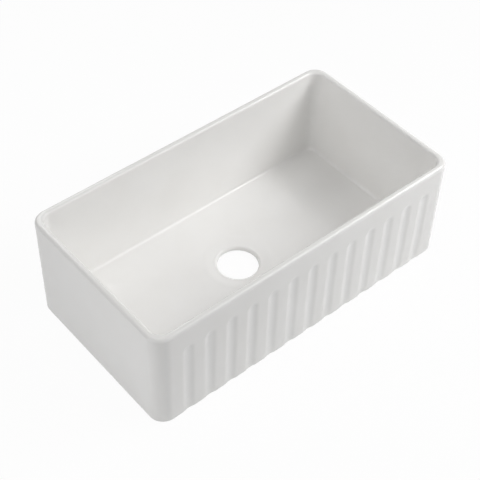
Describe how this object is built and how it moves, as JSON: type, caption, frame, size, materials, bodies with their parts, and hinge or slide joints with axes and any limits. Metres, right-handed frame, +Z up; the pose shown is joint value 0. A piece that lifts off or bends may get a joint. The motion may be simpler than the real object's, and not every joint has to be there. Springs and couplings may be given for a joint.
{
  "type": "farmhouse apron front sink",
  "caption": "Deep single-bowl kitchen sink in glazed fireclay, with a fluted apron front, a rounded rim and a plain round outlet in a floor that falls to it.",
  "frame": {"origin": "on the surface the sink stands on, under the centre of its outline", "axes": "+X along the sink to its right seen from the front, +Y from the fluted apron to the plain back, +Z up through the outlet"},
  "size_m": [0.762, 0.41, 0.25],
  "materials": {
    "glazed_fireclay": "smooth glossy white glaze, left bare on the underside"
  },
  "bodies": {
    "root": {"sink_body": "glazed_fireclay"}
  },
  "joints": []
}
